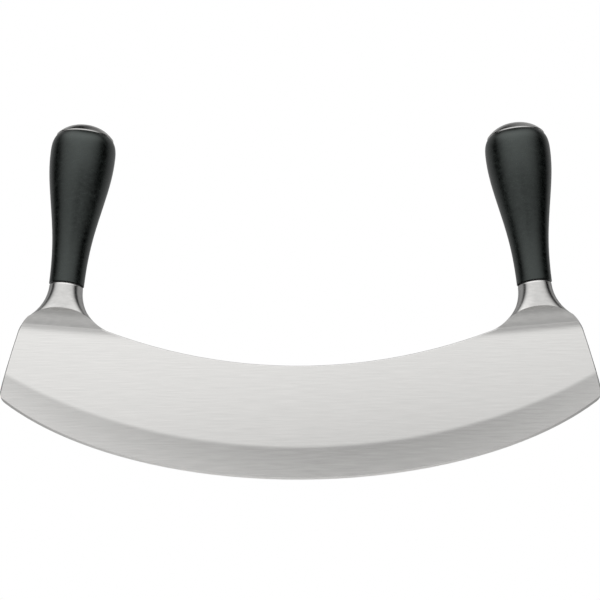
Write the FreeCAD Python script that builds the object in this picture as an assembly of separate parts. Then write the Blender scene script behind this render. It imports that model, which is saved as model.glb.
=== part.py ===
import FreeCAD, Part
import math
import os

# A two-handled rocking knife: an upright crescent blade with a grip standing at each end.
# X runs along the blade, Y through its thickness with the front at -Y, and Z is up.
# The origin is the lowest point of the cutting edge, in the middle. Sizes are in millimetres.

Vec = FreeCAD.Vector

# Blade plate
blade_thickness = 2.6
toe_span = 281.6  # between the lower corners of the plate, before they are rounded
toe_radius = 6.0
side_bulge = 0.4  # how far each end of the plate bows outwards
spine_height = 53.6  # in the middle of the blade
spine_radius = 250.0
rim_softening = 0.5  # rounding of the plate's rims

# Cutting edge, which follows an ellipse, and the two grinds that lead to it
edge_overhang = 23.7  # half length of the ellipse past a toe
edge_depth = 80.3
edge_land = 0.12  # thickness left at the very edge
hone_height = 0.9  # in the middle of the blade
hone_deepening = 0.7  # extra depth of the ellipse where the hone starts
hone_thickness = 0.6  # blade thickness there
grind_height = 15.2  # in the middle of the blade
grind_lengthening = 53.5  # extra half length of the ellipse where the wide grind starts
grind_deepening = 75.7
grind_easing = 3.0  # height of the soft start of the wide grind

# Place of the two handles
handle_inset = 29.7  # of a handle's axis from the toe, at the top of the bolster
handle_lean = 4.85  # degrees, tops towards each other

# Bolster
bolster_rise = 13.3  # of its top above the line of the spine
neck_radius = 7.9
neck_chamfer = 0.4
neck_straight = 0.7
shoulder_half_width = 18.8  # of the outer corner, before it is rounded
shoulder_below_spine = 5.0
shoulder_radius = 14.0
weld_below_spine = 6.55
ramp_radius = 10.0  # hollow ground from the blade's flat up to the bolster
ramp_start_angle = 12.0  # degrees from the blade's flat
socket_depth = 9.0

# Tongues of the blade, brazed into the bolsters
tongue_width = 18.0
tongue_height = 6.0
tongue_set_back = 0.7  # from the flat of the blade to that of the tongue

# Grip, from its foot on the ring to the rim under the cap
grip_length = 73.9
grip_foot_radius = 8.3
grip_waist_height = 22.0
grip_waist_radius = 9.5
grip_palm_height = 45.0
grip_palm_radius = 13.4
grip_swell_below_rim = 8.2
grip_swell_radius = 15.65
grip_rim_radius = 13.8
grip_rim_slope = -0.7  # change of radius per millimetre of height, at the rim
grip_edge_break = 0.3
grip_bore_radius = 3.3
counterbore_radius = 9.5
counterbore_depth = 14.0

# Cap
cap_height = 6.7
cap_edge_break = 0.25
cap_band = 0.5  # upright, around the rim
cap_dome_slope = -0.8  # change of radius per millimetre of height, above the band
cap_hollow_rise = 1.0
spigot_length = 4.0
spigot_wall = 1.5

# Ring, stud, washer and nut
ring_thickness = 0.6
ring_radius = 7.5
stud_radius = 3.0
stud_end_chamfer = 0.5
stud_above_nut = 1.4
washer_radius = 6.0
washer_thickness = 1.6
nut_across_flats = 10.0
nut_height = 5.0
nut_bevel_angle = 30.0  # degrees

# Clearances
braze_gap = 0.05  # around a tongue, and around a stud in its socket and ring
thread_gap = 0.05
washer_gap = 0.2
spigot_gap = 0.1

# Cutting shapes
grind_overshoot = 0.5  # past the two paths of a grind, as a share of the way between them
sweep_overshoot = 1.12  # past the toes, as a factor
column_spread = 0.6  # growth of a bolster's column per millimetre below the shoulder
same_place = 0.01  # points nearer than this count as one


def spine_rise(across):
    """Height of the line of the spine at a distance from the middle of the blade."""
    return spine_height + spine_radius - math.sqrt(spine_radius ** 2 - across ** 2)


# Values worked out from the sizes above
edge_half_length = toe_span / 2 + edge_overhang
toe_sweep = math.asin(toe_span / 2 / edge_half_length)
spine_centre = Vec(0, 0, spine_height + spine_radius)
handle_spacing = toe_span - 2 * handle_inset
lean = math.radians(handle_lean)
seat = Vec(-handle_spacing / 2, 0, spine_rise(handle_spacing / 2) + bolster_rise)
up_handle = Vec(math.sin(lean), 0, math.cos(lean))
across_handle = Vec(math.cos(lean), 0, -math.sin(lean))
handle_place = FreeCAD.Placement(seat, FreeCAD.Rotation(Vec(0, 1, 0), handle_lean))
shoulder_drop = bolster_rise + shoulder_below_spine
weld_drop = bolster_rise + weld_below_spine
tongue_thickness = blade_thickness - 2 * tongue_set_back
grip_foot = ring_thickness
grip_rim = grip_foot + grip_length
counterbore_floor = grip_rim - counterbore_depth
nut_base = counterbore_floor + washer_thickness
stud_top = nut_base + nut_height + stud_above_nut


def on_handle(across, up):
    """A point beside the left handle: across towards the middle of the blade, up along the axis."""
    return seat + across_handle * across + up_handle * up


def outer_flare_radius():
    """Radius of the arc that leaves the neck along the handle and reaches the outer shoulder."""
    rise = shoulder_drop - neck_straight
    width = shoulder_half_width - neck_radius
    return (rise ** 2 + width ** 2) / (2 * width)


def inner_flare_radius():
    """Radius of the arc that leaves the neck along the handle and runs smoothly into the spine."""
    reach = on_handle(neck_radius, -neck_straight) - spine_centre
    return (spine_radius ** 2 - reach.dot(reach)) / (2 * (reach.dot(across_handle) + spine_radius))


def toe_corner():
    """The lower corner of the left end, before it is rounded."""
    return Vec(-toe_span / 2, 0, edge_depth * (1 - math.cos(toe_sweep)))


def shoulder_corner():
    """The upper corner of the left end, before it is rounded."""
    return on_handle(-shoulder_half_width, -shoulder_drop)


def same(point):
    return point


def mirrored(point):
    return Vec(-point.x, point.y, point.z)


def line(start, end):
    return Part.LineSegment(start, end).toShape()


def arc_between(centre, start, end):
    """The short arc about a centre from one point to another."""
    middle = (start + end) * 0.5 - centre
    return Part.Arc(start, centre + middle * ((start - centre).Length / middle.Length), end).toShape()


def ellipse_arc(path, side, half_sweep):
    """The lower arc of an upright ellipse that lies in front of or behind the blade's middle plane.

    A path is the ellipse's half length, its depth, the height of its lowest point, and its distance
    from the middle plane.
    """
    half_length, depth, height, distance = path
    centre = Vec(0, side * distance, height + depth)
    ellipse = Part.Ellipse(centre + Vec(half_length, 0, 0), centre - Vec(0, 0, depth), centre)
    return ellipse.toShape(math.pi / 2 - half_sweep, math.pi / 2 + half_sweep)


def end_edges(flip):
    """The outline of one end, from the toe up over the bolster and down to the spine."""
    toe, shoulder = flip(toe_corner()), flip(shoulder_corner())
    chord = shoulder_corner() - toe_corner()
    outward = Vec(-chord.z, 0, chord.x).normalize()
    side_middle = flip(toe_corner() + chord * 0.5 + outward * side_bulge)
    outer_centre = flip(on_handle(-neck_radius - outer_flare_radius(), -neck_straight))
    outer_neck = flip(on_handle(-neck_radius, -neck_straight))
    outer_top = flip(on_handle(-neck_radius, 0))
    inner_top = flip(on_handle(neck_radius, 0))
    inner_neck = flip(on_handle(neck_radius, -neck_straight))
    inner_centre = flip(on_handle(neck_radius + inner_flare_radius(), -neck_straight))
    return [
        Part.Arc(toe, side_middle, shoulder).toShape(),
        arc_between(outer_centre, shoulder, outer_neck),
        line(outer_neck, outer_top),
        line(outer_top, inner_top),
        line(inner_top, inner_neck),
        arc_between(inner_centre, inner_neck, flip(spine_end())),
    ]


def spine_end():
    """Where the left end of the spine meets the flare of the bolster."""
    inner_centre = on_handle(neck_radius + inner_flare_radius(), -neck_straight)
    return spine_centre + (inner_centre - spine_centre).normalize() * spine_radius


def outline_face():
    """The front outline of blade and bolsters together, as a face in the middle plane."""
    edges = [
        ellipse_arc((edge_half_length, edge_depth, 0, 0), 1, toe_sweep),
        Part.Arc(spine_end(), Vec(0, 0, spine_height), mirrored(spine_end())).toShape(),
    ]
    edges += end_edges(same) + end_edges(mirrored)
    return Part.Face(Part.Wire(Part.__sortEdges__(edges)))


def corner_edges(plate, corner):
    """The edges that run through a plate at one corner of its outline."""
    found = []
    for edge in plate.Edges:
        offsets = [math.hypot(v.X - corner.x, v.Z - corner.z) for v in edge.Vertexes]
        if max(offsets) < same_place:
            found.append(edge)
    return found


def profile_plate(thickness):
    """A plate with the whole front outline, its toes and shoulders rounded."""
    face = outline_face()
    face.translate(Vec(0, -thickness / 2, 0))
    plate = face.extrude(Vec(0, thickness, 0))
    for corner, radius in ((toe_corner(), toe_radius), (shoulder_corner(), shoulder_radius)):
        edges = corner_edges(plate, corner) + corner_edges(plate, mirrored(corner))
        plate = plate.makeFillet(radius, edges)
    return plate


def block_above_weld():
    """Everything above the joint between blade and bolster, in the frame of a handle."""
    reach = handle_spacing / 3
    return Part.makeBox(2 * reach, 2 * reach, 2 * reach, Vec(-reach, -reach, -weld_drop))


def on_left(shape):
    """A shape made about the Z axis, moved onto the left handle."""
    placed = shape.copy()
    placed.Placement = handle_place
    return placed


def on_right(shape):
    return on_left(shape).mirror(Vec(0, 0, 0), Vec(1, 0, 0))


def part_way(first, second, share):
    """A path at a share of the way from one path to another, or past them."""
    return [a + (b - a) * share for a, b in zip(first, second)]


def grind_stock(upper, lower, side):
    """What a grind takes off one side of the blade, from its upper path to its lower one."""
    sweep = sweep_overshoot * toe_sweep
    top = ellipse_arc(part_way(upper, lower, -grind_overshoot), side, sweep)
    bottom = ellipse_arc(part_way(upper, lower, 1 + grind_overshoot), side, sweep)
    return Part.makeRuledSurface(top, bottom).extrude(Vec(0, side * 2 * blade_thickness, 0))


def tongue(gap):
    """A blade's tongue in the frame of a handle, or with a gap the slot that takes it."""
    width = tongue_width + 2 * gap
    thickness = tongue_thickness + 2 * gap
    root_depth = blade_thickness
    root = Vec(-width / 2, -thickness / 2, -weld_drop - root_depth)
    return Part.makeBox(width, thickness, root_depth + tongue_height + gap, root)


def rim_edges(plate):
    """The curved edges around the front and the back of the blade plate."""
    found = []
    for edge in plate.Edges:
        sides = [vertex.Y for vertex in edge.Vertexes]
        if not isinstance(edge.Curve, Part.Line) and max(sides) - min(sides) < same_place:
            found.append(edge)
    return found


def make_blade():
    plate = profile_plate(blade_thickness)
    plate = plate.cut([on_left(block_above_weld()), on_right(block_above_weld())])
    plate = plate.makeFillet(rim_softening, rim_edges(plate))
    edge_path = (edge_half_length, edge_depth, 0, edge_land / 2)
    hone_path = (edge_half_length, edge_depth + hone_deepening, hone_height, hone_thickness / 2)
    grind_path = (
        edge_half_length + grind_lengthening,
        edge_depth + grind_deepening,
        grind_height,
        blade_thickness / 2,
    )
    easing = grind_easing / 2 / (grind_height - hone_height)
    easing_top = part_way(grind_path, hone_path, -easing)[:3] + [blade_thickness / 2]
    easing_bottom = part_way(grind_path, hone_path, easing)
    for side in (-1, 1):
        plate = plate.cut(grind_stock(easing_top, easing_bottom, side))
        plate = plate.cut(grind_stock(grind_path, hone_path, side))
        plate = plate.cut(grind_stock(hone_path, edge_path, side))
    return plate.fuse([on_left(tongue(0)), on_right(tongue(0))]).removeSplitter()


def flare_half_width(drop, radius):
    """Half width of a bolster at a drop below its top, along a flare of a given radius."""
    below = min(max(drop - neck_straight, 0), radius)
    return neck_radius + radius - math.sqrt(radius ** 2 - below ** 2)


def column_section(drop):
    """A cross-section of the bolster's column: half an ellipse outwards and half one inwards.

    It reaches past the outline, which trims it to a narrow side that gets wider downwards. Below the
    shoulder it spreads on outwards, clear of the end of the blade.
    """
    narrow_side = blade_thickness * (1 + drop / weld_drop)
    fullness = 1 / math.sqrt(1 - (narrow_side / 2 / neck_radius) ** 2)
    spread = column_spread * max(drop - shoulder_drop, 0)
    outer = flare_half_width(min(drop, shoulder_drop), outer_flare_radius()) + spread
    inner = flare_half_width(drop, inner_flare_radius())
    centre = Vec(0, 0, -drop)
    edges = []
    for half_width, start in ((inner, -math.pi / 2), (outer, math.pi / 2)):
        tip = centre + Vec(fullness * half_width, 0, 0)
        ellipse = Part.Ellipse(tip, centre + Vec(0, neck_radius, 0), centre)
        edges.append(ellipse.toShape(start, start + math.pi))
    return Part.Wire(edges)


def bolster_column():
    """The round column of a bolster, which widens downwards along the flares of the outline."""
    steps = 10
    drops = [weld_drop * step / steps for step in range(steps + 1)] + [weld_drop + neck_chamfer]
    return Part.makeLoft([column_section(drop) for drop in drops], True)


def ramp_stock(side):
    """What the hollow ground ramp takes off one side of a bolster."""
    start = math.radians(ramp_start_angle)
    reach = 2 * shoulder_half_width
    offset = blade_thickness / 2 + ramp_radius * math.cos(start)
    centre = Vec(-reach, side * offset, -weld_drop - ramp_radius * math.sin(start))
    return Part.makeCylinder(ramp_radius, 2 * reach, centre, Vec(1, 0, 0))


def turned(edges):
    """A solid turned about the Z axis from the edges of a closed profile in the XZ plane."""
    face = Part.Face(Part.Wire(Part.__sortEdges__(edges)))
    return face.revolve(Vec(0, 0, 0), Vec(0, 0, 1), 360)


def path_lines(corners):
    """Lines from corner to corner, where a corner is a radius and a height."""
    points = [Vec(radius, 0, height) for radius, height in corners]
    return [line(start, end) for start, end in zip(points, points[1:])]


def turned_polygon(corners):
    return turned(path_lines(corners + corners[:1]))


def make_bolster():
    outline = profile_plate(4 * neck_radius).common(on_left(block_above_weld()))
    outline.Placement = handle_place.inverse()
    body = bolster_column().common(outline)
    chamfer = turned_polygon([
        (neck_radius - neck_chamfer, 0),
        (2 * neck_radius, 0),
        (2 * neck_radius, -neck_radius - neck_chamfer),
    ])
    socket = Part.makeCylinder(stud_radius + braze_gap, socket_depth, Vec(0, 0, -socket_depth))
    return body.cut([ramp_stock(-1), ramp_stock(1), chamfer, socket, tongue(braze_gap)])


def make_seal_ring():
    inner = stud_radius + braze_gap
    return turned_polygon([
        (inner, 0),
        (ring_radius, 0),
        (ring_radius, ring_thickness),
        (inner, ring_thickness),
    ])


def make_tang_stud():
    narrow = stud_radius - stud_end_chamfer
    return turned_polygon([
        (0, -socket_depth),
        (narrow, -socket_depth),
        (stud_radius, -socket_depth + stud_end_chamfer),
        (stud_radius, stud_top - stud_end_chamfer),
        (narrow, stud_top),
        (0, stud_top),
    ])


def make_grip():
    foot = (grip_foot_radius, grip_foot + grip_edge_break)
    rim = (grip_rim_radius - grip_rim_slope * grip_edge_break, grip_rim - grip_edge_break)
    stations = [
        foot,
        (grip_waist_radius, grip_foot + grip_waist_height),
        (grip_palm_radius, grip_foot + grip_palm_height),
        (grip_swell_radius, grip_rim - grip_swell_below_rim),
        rim,
    ]
    side = Part.BSplineCurve()
    side.interpolate(
        Points=[Vec(radius, 0, height) for radius, height in stations],
        InitialTangent=Vec(0, 0, 1),
        FinalTangent=Vec(grip_rim_slope, 0, 1),
    )
    return turned([side.toShape()] + path_lines([
        rim,
        (grip_rim_radius - grip_edge_break, grip_rim),
        (counterbore_radius, grip_rim),
        (counterbore_radius, counterbore_floor),
        (grip_bore_radius, counterbore_floor),
        (grip_bore_radius, grip_foot),
        (grip_foot_radius - grip_edge_break, grip_foot),
        foot,
    ]))


def make_washer():
    inner = stud_radius + washer_gap
    return turned_polygon([
        (inner, counterbore_floor),
        (washer_radius, counterbore_floor),
        (washer_radius, nut_base),
        (inner, nut_base),
    ])


def make_tang_nut():
    flat_radius = nut_across_flats / 2
    corner_radius = nut_across_flats / math.sqrt(3)
    corners = []
    for side in range(7):
        angle = math.radians(60 * side)
        corners.append(Vec(corner_radius * math.cos(angle), corner_radius * math.sin(angle), nut_base))
    prism = Part.Face(Part.makePolygon(corners)).extrude(Vec(0, 0, nut_height))
    bevel = (corner_radius - flat_radius) * math.tan(math.radians(nut_bevel_angle))
    bore = stud_radius + thread_gap
    nut_top = nut_base + nut_height
    turned_blank = turned_polygon([
        (bore, nut_base),
        (flat_radius, nut_base),
        (corner_radius, nut_base + bevel),
        (corner_radius, nut_top - bevel),
        (flat_radius, nut_top),
        (bore, nut_top),
    ])
    return prism.common(turned_blank)


def make_end_cap():
    rim = (grip_rim_radius, grip_rim + cap_edge_break)
    shoulder = (grip_rim_radius, grip_rim + cap_edge_break + cap_band)
    crown = (0, grip_rim + cap_height)
    dome = Part.BSplineCurve()
    dome.interpolate(
        Points=[Vec(radius, 0, height) for radius, height in (shoulder, crown)],
        InitialTangent=Vec(cap_dome_slope, 0, 1),
        FinalTangent=Vec(-1, 0, 0),
    )
    spigot_radius = counterbore_radius - spigot_gap
    hollow_radius = spigot_radius - spigot_wall
    return turned([dome.toShape()] + path_lines([
        crown,
        (0, grip_rim + cap_hollow_rise),
        (hollow_radius, grip_rim + cap_hollow_rise),
        (hollow_radius, grip_rim - spigot_length),
        (spigot_radius, grip_rim - spigot_length),
        (spigot_radius, grip_rim),
        (grip_rim_radius - cap_edge_break, grip_rim),
        rim,
        shoulder,
    ]))


handle_pieces = {
    "bolster": make_bolster,
    "seal_ring": make_seal_ring,
    "tang_stud": make_tang_stud,
    "grip": make_grip,
    "washer": make_washer,
    "tang_nut": make_tang_nut,
    "end_cap": make_end_cap,
}

os.makedirs("parts", exist_ok=True)
make_blade().exportStep("parts/blade.step")
for name, make in handle_pieces.items():
    piece = make()
    on_left(piece).exportStep(f"parts/left_{name}.step")
    on_right(piece).exportStep(f"parts/right_{name}.step")
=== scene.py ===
import math

import bpy
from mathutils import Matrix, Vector

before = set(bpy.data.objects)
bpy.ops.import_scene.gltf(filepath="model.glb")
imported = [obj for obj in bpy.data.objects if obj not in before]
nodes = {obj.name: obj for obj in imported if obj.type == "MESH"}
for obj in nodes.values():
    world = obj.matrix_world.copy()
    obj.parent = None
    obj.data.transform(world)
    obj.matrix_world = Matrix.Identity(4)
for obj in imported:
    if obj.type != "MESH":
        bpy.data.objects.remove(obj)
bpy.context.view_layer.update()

# A two-handled rocking knife, seen from the front and a little from below.
# Sizes and places are in metres, in the frame of the CAD parts. Angles are in degrees.

# Camera
camera_aim = Vector((0, 0, 0.0859))
camera_distance = 0.8116
camera_azimuth = 0.84  # towards the right handle
camera_elevation = -16
camera_angle = 19.85

# Lamps and floor
white = (1, 1, 1, 1)
ambient_strength = 0.55
key_place = Vector((-0.9, -1.6, 1.5))
key_size = 1.6
key_power = 26
floor_size = 12.0
floor_drop = 0.0002  # below the lowest point of the edge
floor_colour = (0.72, 0.72, 0.72, 1)
floor_fade = (1.7, 4.5)  # distances, from the plain floor to the white of the background

# Light tent, which only the reflections show: a strength for each angle, with 1 for white.
# Angles go up from the horizon, and to both sides from the front.
tent_radius = 1.0
tent_height = 0.1  # of its centre
tent_step = 3
tent_bottom = -6
tent_top = 90
half_turn = 180
front_upwards = (
    (-6, 0.38), (-3, 0.51), (0, 0.63), (3, 0.75), (6, 0.88), (9, 1.0), (12, 1.07), (18, 1.07),
    (23, 1.16), (28, 1.3), (35, 1.45), (45, 1.7), (55, 1.5), (65, 1.1), (78, 0.3), (90, 0.1),
)
front_sideways = (
    (-88, 0.0), (-80, 0.08), (-67, 0.42), (-52, 0.76), (-40, 0.9), (-30, 0.97), (-19, 1.03), (0, 1.02),
    (19, 0.94), (30, 0.85), (40, 0.72), (52, 0.5), (64, 0.2), (73, 0.05), (82, 0.0),
)
front_narrowing = ((22, 1.0), (45, 0.75), (70, 0.65))  # upwards, what the angles to the sides count for
back_upwards = ((-6, 0.39), (45, 0.39), (60, 0.14), (90, 0.1))
back_sideways = ((97, 0.0), (108, 0.5), (120, 0.85), (132, 1.0))  # the same to the left and to the right
back_right_lead = ((50, 0.0), (62, 1.6), (80, 1.6), (90, 0.0))  # how much brighter the right is, upwards
low_top = 10  # up to here, the next two change the front
low_left_lead = 0.34
low_dip = 0.26  # a darker place near the middle
low_dip_middle = 4
low_dip_width = 12

# Grains, in noise cells per metre along each axis
grain_detail = 3.0
grain_evenness = 0.6  # how strong the finer cells are
grain_reach = (0.3, 0.7)  # the values of the noise that a grain goes between

# Steel finishes: brightness, contrast of the grain, roughness, and stretch of the reflections
steel_shade = (0.737, 0.730, 0.716)
steel_relief = 0.000004
roughness_spread = 0.1  # of the roughness, both ways
blade_finish = dict(brightness=1.0, contrast=0.042, roughness=0.18, grain=(70, 60, 1800), stretch=0.62)
bolster_finish = dict(brightness=0.83, contrast=0.065, roughness=0.245, grain=(300, 300, 900), stretch=0.3)
cap_finish = dict(brightness=1.0, contrast=0.05, roughness=0.18, grain=(900, 900, 900), stretch=0.0)
fixing_finish = dict(brightness=0.85, contrast=0.05, roughness=0.3, grain=(900, 900, 900), stretch=0.0)

# Blade. The wide grinds start on an ellipse, for which 1 is its own size.
blade_half_length = 0.14
grind_ellipse = (0.218, 0.156, 0.0147)  # half length, depth and height of the lowest point
grind_slope = 0.07
grind_start = (0.9925, 1.0075)
# Painted shade and light on the wide grinds: darker just under their start and lighter towards the cutting
# edge, as a hollow grind reflects.
grind_painted_shading = ((1.0, 0.91), (1.09, 1.14))  # down to the cutting edge
plain_face = (0.989, 0.994)  # facing across the blade, from the hone to the wide grinds
hone_facing = (-0.12, -0.105)  # facing upwards, from the hone to the wide grinds
# Painted shade and light on the hone: lighter in the middle of the blade and darker towards its ends.
hone_painted_shade = ((0.05, 1.1), (0.12, 0.82))  # from the middle to the ends of the blade
end_outwards = (0.978, 0, 0.208)  # across the straight part of an end
end_face = (0.9, 0.95)  # facing across the blade, from its ends to its front
# Painted shade: the outermost part of each end of the blade is darkened where it faces to the front or the
# back.
end_painted_shade = ((0.1451, 1.0), (0.14545, 0.35))  # by how far out a place on the front is, that way
# Painted shade: the rims of the blade's ends are darker where they face partly outwards, and not where
# they face straight out.
rim_painted_shade = ((0.05, 1.0), (0.3, 0.3), (0.8, 0.4), (0.93, 1.0))  # by how far an end's rim faces outwards

# Bolsters
handle_lean = 4.85
weld_height = 0.06336  # of the joint with the blade, along the handle
neck_height = 0.08321  # of the top of the neck
neck_rim_start = 0.0009  # below the top of the neck
neck_rim_end = 0.0007
neck_rim_slope = 0.3
ramp_lead = 0.0055  # length of the soft start of a ramp, on the blade
ramp_slope = 0.21  # at the joint
ramp_facing = (-0.2, -0.1)  # facing upwards, from a ramp to the rest of a bolster
# Painted shade and light on each ramp: lighter in its middle, darker towards its bottom and its top.
ramp_painted_shading = (  # by how far a ramp faces down
    (0.28, 0.98), (0.5, 1.16), (0.62, 1.11), (0.76, 0.88), (0.9, 1.07),
)
roundness = 0.3  # of the turn from the front of a bolster to its sides
side_lead = 1.15  # of the sides over the front, in that turn

# Caps
# Painted shade: a cap is darker on its upright band, where it faces to the side, than on its dome.
band_painted_shade = ((0.1, 0.72), (0.4, 1.0))  # by how far a cap faces up

# Grips. Their colours are stops along the noise.
foot_height = (0.0841, 0.0843)  # along the handle, from the broken edge of a grip's foot to its side
foot_levelling = 0.97
grip_grain = (360, 360, 600)
grip_evenness = 0.75
grip_relief = 0.000007
grip_colours = ((0.32, (0.0002, 0.0004, 0.0003)), (0.68, (0.0070, 0.0088, 0.0080)))
grip_roughness = (0.18, 0.29)
grip_refraction = 1.67
grip_gloss_tint = (0.9, 1.0, 0.96, 1)

# Seal rings
ring_grain = (3000, 3000, 3000)
ring_colours = ((0.3, (0.004, 0.004, 0.004)), (0.7, (0.008, 0.008, 0.008)))
ring_roughness = (0.6, 0.75)


def link_to_scene(thing):
    bpy.context.scene.collection.objects.link(thing)
    return thing


def node(tree, kind, **settings):
    """A new shader node with some of its settings."""
    made = tree.nodes.new(kind)
    for name, value in settings.items():
        setattr(made, name, value)
    return made


def new_material(name):
    """An empty node material, with its tree and its output node."""
    material = bpy.data.materials.new(name)
    material.use_nodes = True
    tree = material.node_tree
    tree.nodes.clear()
    return material, tree, node(tree, "ShaderNodeOutputMaterial")


def principled(name, metallic):
    """A node material with one Principled shader."""
    material, tree, output = new_material(name)
    shader = node(tree, "ShaderNodeBsdfPrincipled")
    shader.inputs["Metallic"].default_value = metallic
    tree.links.new(shader.outputs["BSDF"], output.inputs["Surface"])
    return material, tree, shader


def place(tree):
    """Places on the object."""
    return node(tree, "ShaderNodeTexCoord").outputs["Object"]


def facing(tree):
    """Which way the surface faces, on the object."""
    return node(tree, "ShaderNodeTexCoord").outputs["Normal"]


def stretched_place(tree, scale, shift=(0, 0, 0)):
    """Places on the object, stretched by a number for each axis and then shifted."""
    mapping = node(tree, "ShaderNodeMapping")
    mapping.inputs["Scale"].default_value = scale
    mapping.inputs["Location"].default_value = shift
    tree.links.new(place(tree), mapping.inputs["Vector"])
    return mapping.outputs["Vector"]


def noise(tree, cells, evenness=grain_evenness):
    """Noise with a number of cells per metre along each axis."""
    texture = node(tree, "ShaderNodeTexNoise")
    texture.inputs["Scale"].default_value = 1.0
    texture.inputs["Detail"].default_value = grain_detail
    texture.inputs["Roughness"].default_value = evenness
    tree.links.new(stretched_place(tree, cells), texture.inputs["Vector"])
    return texture.outputs["Fac"]


def between(tree, factor, low, high, start, end, curve="LINEAR"):
    """A number that goes from low to high as a factor goes from start to end."""
    spread = node(tree, "ShaderNodeMapRange", interpolation_type=curve)
    spread.inputs["From Min"].default_value = start
    spread.inputs["From Max"].default_value = end
    spread.inputs["To Min"].default_value = low
    spread.inputs["To Max"].default_value = high
    tree.links.new(factor, spread.inputs["Value"])
    return spread.outputs["Result"]


def vector_math(tree, operation, *terms):
    """A vector operation on terms that are sockets or plain numbers."""
    made = node(tree, "ShaderNodeVectorMath", operation=operation)
    for term, socket in zip(terms, made.inputs):
        if isinstance(term, tuple):
            socket.default_value = term
        else:
            tree.links.new(term, socket)
    return made.outputs["Value" if operation in ("LENGTH", "DOT_PRODUCT") else "Vector"]


def number_math(tree, operation, first, second):
    made = node(tree, "ShaderNodeMath", operation=operation)
    tree.links.new(first, made.inputs[0])
    tree.links.new(second, made.inputs[1])
    return made.outputs["Value"]


def blended(tree, kind, share, first, second, **settings):
    """Two colours or vectors, mixed by a share of the second."""
    mix = node(tree, "ShaderNodeMix", data_type=kind, **settings)
    sockets = [socket for socket in mix.inputs if socket.enabled]
    for source, socket in zip((share, first, second), sockets):
        tree.links.new(source, socket)
    return next(socket for socket in mix.outputs if socket.enabled)


def mixed(tree, share, first, second):
    """Two shaders, mixed by a share of the second."""
    mix = node(tree, "ShaderNodeMixShader")
    for source, socket in zip((share, first, second), mix.inputs):
        tree.links.new(source, socket)
    return mix.outputs["Shader"]


def colour_ramp(tree, factor, stops):
    """A colour that changes along a factor, through stops of a position and a colour."""
    ramp = node(tree, "ShaderNodeValToRGB")
    elements = ramp.color_ramp.elements
    while len(elements) < len(stops):
        elements.new(0.5)
    for element, (position, colour) in zip(elements, stops):
        element.position = position
        element.color = (*colour, 1)
    tree.links.new(factor, ramp.inputs["Fac"])
    return ramp.outputs["Color"]


def grey_along(tree, factor, tones):
    """A grey that changes along a factor, through stops of a position and a tone."""
    start, end = tones[0][0], tones[-1][0]
    along = between(tree, factor, 0, 1, start, end)
    stops = [((position - start) / (end - start), (tone,) * 3) for position, tone in tones]
    return colour_ramp(tree, along, stops)


def toned(tree, colour, share, factor, tones):
    """A colour made lighter or darker along a factor, as far as a share says."""
    return blended(tree, "RGBA", share, colour, grey_along(tree, factor, tones), blend_type="MULTIPLY")


def tinted(colour, factor):
    return tuple(factor * part for part in colour)


def in_world(tree, direction):
    """A direction on the object, as one in the world."""
    spaces = {"vector_type": "NORMAL", "convert_from": "OBJECT", "convert_to": "WORLD"}
    turn = node(tree, "ShaderNodeVectorTransform", **spaces)
    tree.links.new(direction, turn.inputs["Vector"])
    return turn.outputs["Vector"]


def bump(tree, height, distance, softened=None):
    """A relief on the surface, which may have a softened facing."""
    made = node(tree, "ShaderNodeBump")
    made.inputs["Distance"].default_value = distance
    tree.links.new(height, made.inputs["Height"])
    if softened is not None:
        tree.links.new(in_world(tree, softened), made.inputs["Normal"])
    return made.outputs["Normal"]


def stretch_upright(tree, shader, amount):
    """Stretches the reflections up and down, across the grain."""
    shader.inputs["Anisotropic"].default_value = amount
    tangent = node(tree, "ShaderNodeCombineXYZ")
    tangent.inputs["Z"].default_value = 1
    tree.links.new(tangent.outputs["Vector"], shader.inputs["Tangent"])


def folded_place(tree):
    """Places on the object, with both its halves on the right."""
    return vector_math(tree, "ABSOLUTE", place(tree))


def along_handle(tree):
    """How far up a handle a place is, from the level of the origin."""
    lean = math.radians(handle_lean)
    direction = (-math.sin(lean), 0, math.cos(lean))
    return vector_math(tree, "DOT_PRODUCT", folded_place(tree), direction)


def facing_up(tree):
    """The upright part of the facing, from 1 for upwards to -1 for downwards."""
    return vector_math(tree, "DOT_PRODUCT", facing(tree), (0, 0, 1))


def facing_across(tree):
    """The part of the facing that points to the front or to the back."""
    return vector_math(tree, "MULTIPLY", facing(tree), (0, 1, 0))


def level_facing(tree):
    return vector_math(tree, "MULTIPLY", facing(tree), (1, 1, 0))


def straightness(tree):
    """One where the surface faces straight to the front or to the back."""
    return vector_math(tree, "LENGTH", facing_across(tree))


def steel(name, brightness, contrast, roughness, grain, stretch, tone=None, soften=None):
    """Brushed steel. A tone changes its colour from place to place with painted light and shade, and
    soften its facing.
    """
    material, tree, shader = principled(name, 1.0)
    streaks = noise(tree, grain)
    shade = tinted(steel_shade, brightness)
    shades = (tinted(shade, 1 - contrast), tinted(shade, 1 + contrast))
    colour = colour_ramp(tree, streaks, tuple(zip(grain_reach, shades)))
    if tone:
        colour = tone(tree, colour)
    tree.links.new(colour, shader.inputs["Base Color"])
    smoothest = (1 - roughness_spread) * roughness
    roughest = (1 + roughness_spread) * roughness
    tree.links.new(between(tree, streaks, smoothest, roughest, *grain_reach), shader.inputs["Roughness"])
    softened = soften(tree) if soften else None
    tree.links.new(bump(tree, streaks, steel_relief, softened), shader.inputs["Normal"])
    stretch_upright(tree, shader, stretch)
    return material


def on_grind(tree, power):
    """Places set against the ellipse of the grinds.

    With a power of 1 they are as long as their size on it, and with 2 they point across it.
    """
    half_length, depth, height = grind_ellipse
    scale = (half_length ** -power, 0, depth ** -power)
    return stretched_place(tree, scale, (0, 0, -(height + depth) * depth ** -power))


def size_on_grind(tree):
    return vector_math(tree, "LENGTH", on_grind(tree, 1))


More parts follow.
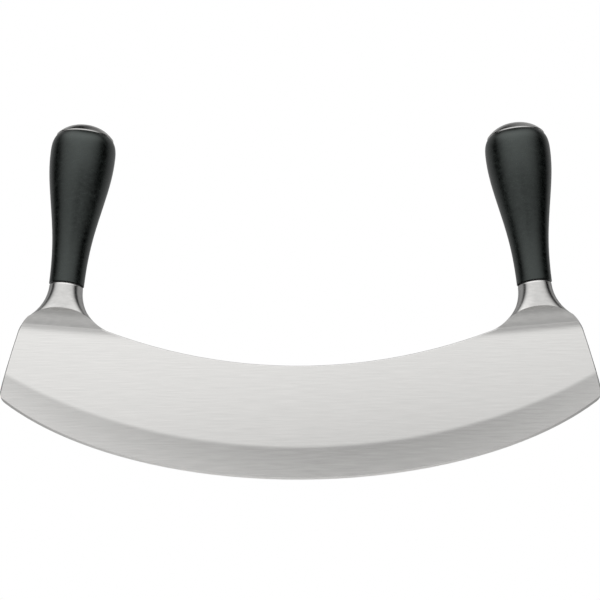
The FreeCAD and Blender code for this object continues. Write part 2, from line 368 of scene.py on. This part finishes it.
def blade_painted_shading(tree, colour):
    """Painted shade and light on the wide grinds, on the hone, and on the ends and their rims."""
    size = size_on_grind(tree)
    ground = between(tree, size, 0, 1, *grind_start, "SMOOTHSTEP")
    colour = toned(tree, colour, ground, size, grind_painted_shading)
    sideways = vector_math(tree, "LENGTH", stretched_place(tree, (1, 0, 0)))
    honed = between(tree, facing_up(tree), 1, 0, *hone_facing)
    colour = toned(tree, colour, honed, sideways, hone_painted_shade)
    reach = vector_math(tree, "DOT_PRODUCT", folded_place(tree), end_outwards)
    front = between(tree, straightness(tree), 0, 1, *end_face)
    colour = toned(tree, colour, front, reach, end_painted_shade)
    outwards = stretched_place(tree, (1 / blade_half_length, 0, 0))
    facing_outwards = vector_math(tree, "DOT_PRODUCT", facing(tree), outwards)
    return vector_math(tree, "MULTIPLY", colour, grey_along(tree, facing_outwards, rim_painted_shade))


def grind_tilt(tree):
    """A tilt down across the ellipse of the grinds, with a soft start."""
    slope = between(tree, size_on_grind(tree), 0, grind_slope, *grind_start, "SMOOTHSTEP")
    downwards = vector_math(tree, "NORMALIZE", on_grind(tree, 2))
    return vector_math(tree, "MULTIPLY", downwards, slope)


def ramp_tilt(tree):
    """A tilt that grows towards the joint, which is half way along its curve."""
    start, end = weld_height - ramp_lead, weld_height + ramp_lead
    slope = between(tree, along_handle(tree), 0, 2 * ramp_slope, start, end, "SMOOTHSTEP")
    return vector_math(tree, "MULTIPLY", (0, 0, -1), slope)


def blade_facing(tree):
    """The facing of the blade, with a soft start of its wide grinds and of the bolsters' ramps."""
    soft = vector_math(tree, "ADD", facing_across(tree), grind_tilt(tree))
    soft = vector_math(tree, "ADD", soft, ramp_tilt(tree))
    plain = between(tree, straightness(tree), 0, 1, *plain_face)
    return blended(tree, "VECTOR", plain, facing(tree), soft)


def bolster_painted_shading(tree, colour):
    """Painted shade and light on a hollow ground ramp, which is lightest in its middle."""
    up = facing_up(tree)
    down = between(tree, up, 1, 0, -1, 0)
    return toned(tree, colour, between(tree, up, 1, 0, *ramp_facing), down, ramp_painted_shading)


def squared_facing(tree):
    """The facing, turned towards the front and the sides as on a block with rounded edges."""
    reach = vector_math(tree, "LENGTH", level_facing(tree))
    level = vector_math(tree, "MULTIPLY", level_facing(tree), (side_lead, 1, 1))
    sizes = vector_math(tree, "ABSOLUTE", level)
    sizes = vector_math(tree, "ADD", sizes, (roundness,) * 3)
    squares = vector_math(tree, "MULTIPLY", level, sizes)
    turned = vector_math(tree, "NORMALIZE", squares)
    turned = vector_math(tree, "MULTIPLY", turned, reach)
    upright = vector_math(tree, "MULTIPLY", facing(tree), (0, 0, 1))
    return vector_math(tree, "ADD", turned, upright)


def bolster_facing(tree):
    """The facing of a bolster, which has a soft rim at its top."""
    rolled = vector_math(tree, "ADD", level_facing(tree), (0, 0, neck_rim_slope))
    start, end = neck_height - neck_rim_start, neck_height - neck_rim_end
    rim = between(tree, along_handle(tree), 0, 1, start, end)
    return blended(tree, "VECTOR", rim, squared_facing(tree), rolled)


def cap_painted_shade(tree, colour):
    """Painted shade on the upright band of a cap, which is darker than its dome."""
    return vector_math(tree, "MULTIPLY", colour, grey_along(tree, facing_up(tree), band_painted_shade))


def grip_facing(tree):
    """The facing of a grip, which stays level over the broken edge of its foot."""
    foot = between(tree, along_handle(tree), foot_levelling, 0, *foot_height)
    return blended(tree, "VECTOR", foot, facing(tree), level_facing(tree))


def plastic():
    """Black plastic with a satin grain."""
    material, tree, shader = principled("satin_plastic", 0.0)
    shader.inputs["IOR"].default_value = grip_refraction
    shader.inputs["Specular Tint"].default_value = grip_gloss_tint
    grain = noise(tree, grip_grain, grip_evenness)
    tree.links.new(colour_ramp(tree, grain, grip_colours), shader.inputs["Base Color"])
    tree.links.new(between(tree, grain, *grip_roughness, *grain_reach), shader.inputs["Roughness"])
    tree.links.new(bump(tree, grain, grip_relief, grip_facing(tree)), shader.inputs["Normal"])
    return material


def rubber():
    """Dull black rubber."""
    material, tree, shader = principled("seal_rubber", 0.0)
    grain = noise(tree, ring_grain)
    tree.links.new(colour_ramp(tree, grain, ring_colours), shader.inputs["Base Color"])
    tree.links.new(between(tree, grain, *ring_roughness, *grain_reach), shader.inputs["Roughness"])
    return material


def dress(name, material):
    """Gives a CAD node its material."""
    slots = nodes[name].data.materials
    slots.clear()
    slots.append(material)


def dress_nodes():
    """Gives all the CAD nodes their materials."""
    dress("blade", steel("blade_steel", **blade_finish, tone=blade_painted_shading, soften=blade_facing))
    fixing_steel = steel("fixing_steel", **fixing_finish)
    materials = {
        "bolster": steel("bolster_steel", **bolster_finish, tone=bolster_painted_shading, soften=bolster_facing),
        "end_cap": steel("cap_steel", **cap_finish, tone=cap_painted_shade),
        "grip": plastic(),
        "seal_ring": rubber(),
        "tang_stud": fixing_steel,
        "washer": fixing_steel,
        "tang_nut": fixing_steel,
    }
    for side in ("left", "right"):
        for piece, material in materials.items():
            dress(f"{side}_{piece}", material)


def stage_mesh(name, corners, faces, material):
    """A mesh that belongs to the stage and not to the object."""
    mesh = bpy.data.meshes.new(name)
    mesh.from_pydata(corners, [], faces)
    mesh.materials.append(material)
    thing = link_to_scene(bpy.data.objects.new(name, mesh))
    return thing


def on_stops(position, stops):
    """The value at a position on straight lines through stops of a position and a value."""
    if position <= stops[0][0]:
        return stops[0][1]
    for (start, low), (end, high) in zip(stops, stops[1:]):
        if position <= end:
            return low + (high - low) * (position - start) / (end - start)
    return stops[-1][1]


def tent_strength(azimuth, elevation):
    """The strength of the light tent in a direction."""
    sideways = math.sin(math.radians(azimuth))
    narrowed = azimuth * on_stops(elevation, front_narrowing)
    front = on_stops(elevation, front_upwards) * on_stops(narrowed, front_sideways)
    low = min(max(1 - elevation / low_top, 0), 1)
    dip = math.exp(-(((azimuth - low_dip_middle) / low_dip_width) ** 2))
    front *= (1 - low * low_left_lead * sideways) * (1 - low * low_dip * dip)
    back = on_stops(elevation, back_upwards) * on_stops(abs(azimuth), back_sideways)
    back *= max(1 + on_stops(elevation, back_right_lead) * sideways, 0)
    return front + back


def towards(azimuth, elevation):
    """A direction, by its angle to the right of the front and its angle above the horizon."""
    turn, rise = math.radians(azimuth), math.radians(elevation)
    return Vector((
        math.cos(rise) * math.sin(turn),
        -math.cos(rise) * math.cos(turn),
        math.sin(rise),
    ))


def tent_material():
    """Glows by the strength kept at the corners of the mesh."""
    material, tree, output = new_material("light_tent")
    strength = node(tree, "ShaderNodeAttribute", attribute_name="strength")
    glow = node(tree, "ShaderNodeEmission")
    tree.links.new(strength.outputs["Fac"], glow.inputs["Strength"])
    tree.links.new(glow.outputs["Emission"], output.inputs["Surface"])
    return material


def add_light_tent():
    """A dome around the object that is seen only in its reflections."""
    rows = range(tent_bottom, tent_top + 1, tent_step)
    columns = range(-half_turn, half_turn + 1, tent_step)
    directions = [(azimuth, elevation) for elevation in rows for azimuth in columns]
    centre = Vector((0, 0, tent_height))
    corners = [centre + tent_radius * towards(*direction) for direction in directions]
    faces = []
    for row in range(len(rows) - 1):
        for column in range(len(columns) - 1):
            first = row * len(columns) + column
            above = first + len(columns)
            faces.append((first, first + 1, above + 1, above))
    tent = stage_mesh("light_tent", corners, faces, tent_material())
    strengths = [tent_strength(*direction) for direction in directions]
    tent.data.attributes.new("strength", "FLOAT", "POINT").data.foreach_set("value", strengths)
    tent.visible_camera = False
    tent.visible_diffuse = False
    tent.visible_transmission = False
    tent.visible_shadow = False


def seen_directly(tree):
    """One for camera, glossy and transmission rays, and nought for the light on the object."""
    path = node(tree, "ShaderNodeLightPath")
    seen = path.outputs["Is Camera Ray"]
    for kind in ("Is Glossy Ray", "Is Transmission Ray"):
        seen = number_math(tree, "MAXIMUM", seen, path.outputs[kind])
    return seen


def floor_material():
    """A pale floor that fades to white, and is seen from above only."""
    material, tree, output = new_material("pale_floor")
    pale = node(tree, "ShaderNodeBsdfDiffuse")
    pale.inputs["Color"].default_value = floor_colour
    glow = node(tree, "ShaderNodeEmission")
    distance = vector_math(tree, "LENGTH", place(tree))
    fade = number_math(tree, "MULTIPLY", between(tree, distance, 0, 1, *floor_fade), seen_directly(tree))
    top = mixed(tree, fade, pale.outputs["BSDF"], glow.outputs["Emission"])
    clear = node(tree, "ShaderNodeBsdfTransparent")
    from_below = node(tree, "ShaderNodeNewGeometry").outputs["Backfacing"]
    both = mixed(tree, from_below, top, clear.outputs["BSDF"])
    tree.links.new(both, output.inputs["Surface"])
    return material


def add_floor():
    half = floor_size / 2
    corners = [(x * half, y * half, -floor_drop) for x, y in ((-1, -1), (1, -1), (1, 1), (-1, 1))]
    stage_mesh("floor", corners, [(0, 1, 2, 3)], floor_material())


def add_world():
    """A white background, and a plain ambient light."""
    world = bpy.data.worlds.new("studio")
    world.use_nodes = True
    tree = world.node_tree
    tree.nodes.clear()
    output = node(tree, "ShaderNodeOutputWorld")
    ambient = node(tree, "ShaderNodeBackground")
    ambient.inputs["Strength"].default_value = ambient_strength
    backdrop = node(tree, "ShaderNodeBackground")
    for light in (ambient, backdrop):
        light.inputs["Color"].default_value = white
    shown = mixed(tree, seen_directly(tree), ambient.outputs["Background"], backdrop.outputs["Background"])
    tree.links.new(shown, output.inputs["Surface"])
    bpy.context.scene.world = world


def aim(thing, direction):
    """Turns a lamp or a camera to look in a direction."""
    thing.rotation_mode = "QUATERNION"
    thing.rotation_quaternion = direction.to_track_quat("-Z", "Y")


def add_key_light():
    data = bpy.data.lights.new("key_light", "AREA")
    data.shape = "SQUARE"
    data.size = key_size
    data.energy = key_power
    key = link_to_scene(bpy.data.objects.new("key_light", data))
    key.location = key_place
    aim(key, camera_aim - key_place)
    key.visible_glossy = False


def add_camera():
    data = bpy.data.cameras.new("camera")
    data.angle = math.radians(camera_angle)
    camera = link_to_scene(bpy.data.objects.new("camera", data))
    back = towards(camera_azimuth, camera_elevation)
    camera.location = camera_aim + back * camera_distance
    aim(camera, -back)
    bpy.context.scene.camera = camera


add_camera()
add_world()
add_key_light()
add_floor()
add_light_tent()
dress_nodes()

bpy.context.scene.view_settings.view_transform = "Standard"
